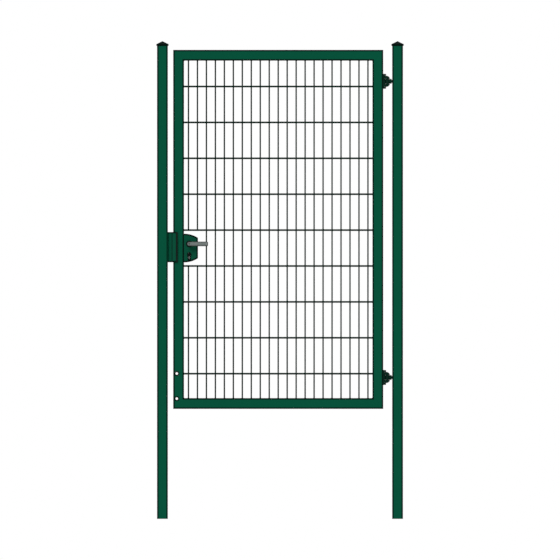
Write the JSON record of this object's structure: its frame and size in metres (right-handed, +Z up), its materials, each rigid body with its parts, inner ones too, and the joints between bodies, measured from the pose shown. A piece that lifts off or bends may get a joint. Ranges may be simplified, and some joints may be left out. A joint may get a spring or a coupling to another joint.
{
  "type": "tubular frame gate",
  "caption": "Hinged garden gate between its posts: welded tube frame with a double-wire mesh, lever lock, keep and adjustable hinges.",
  "frame": {"origin": "centre of the hinge post's foot", "axes": "+X from the latch post towards the hinge post and past it, +Y towards the back, the way the leaf opens, +Z up"},
  "size_m": [1.38, 0.14, 2.662],
  "materials": {
    "green_paint": "satin",
    "mesh_paint": "satin",
    "lock_paint": "satin",
    "hinge_paint": "satin",
    "cap_plastic": "matte",
    "buffer_rubber": "matte",
    "black_steel": "satin",
    "black_plastic": "satin",
    "bare_steel": "satin",
    "lever_aluminium": "satin"
  },
  "bodies": {
    "posts": {"hinge_post": "green_paint", "latch_post": "green_paint", "hinge_post_cap": "cap_plastic", "latch_post_cap": "cap_plastic", "upper_eye_bolt": "hinge_paint", "lower_eye_bolt": "hinge_paint", "upper_lock_nut": "hinge_paint", "lower_lock_nut": "hinge_paint", "upper_post_insert": "hinge_paint", "lower_post_insert": "hinge_paint", "keep_plate": "lock_paint", "keep_buffer": "buffer_rubber", "keep_screws": "black_steel"},
    "leaf": {"latch_stile": "green_paint", "hinge_stile": "green_paint", "top_rail": "green_paint", "bottom_rail": "green_paint", "mesh_panel": "mesh_paint", "upper_hinge_bracket": "hinge_paint", "lower_hinge_bracket": "hinge_paint", "upper_hinge_pin": "black_steel", "lower_hinge_pin": "black_steel", "upper_plate_screws": "black_steel", "lower_plate_screws": "black_steel", "lock_case": "lock_paint", "front_lock_cover": "lock_paint", "back_lock_cover": "lock_paint", "latch_bolt": "bare_steel", "front_rosette": "lock_paint", "back_rosette": "lock_paint", "front_escutcheon": "black_plastic", "back_escutcheon": "black_plastic", "lock_cylinder": "bare_steel", "key_plugs": "black_steel"},
    "handle": {"front_lever": "lever_aluminium", "back_lever": "lever_aluminium", "lever_spindle": "bare_steel"}
  },
  "joints": [
    {"name": "gate_swing", "type": "hinge", "parent": "posts", "child": "leaf", "pos_m": [-0.057, 0, 0.788], "axis": [0, 0, -1], "range_deg": [0, 90]},
    {"name": "handle_turn", "type": "hinge", "parent": "leaf", "child": "handle", "pos_m": [-1.161, 0, 1.532], "axis": [0, 1, 0], "range_deg": [0, 45], "stiffness_Nm_per_rad": 1, "springref_deg": -28.65}
  ]
}
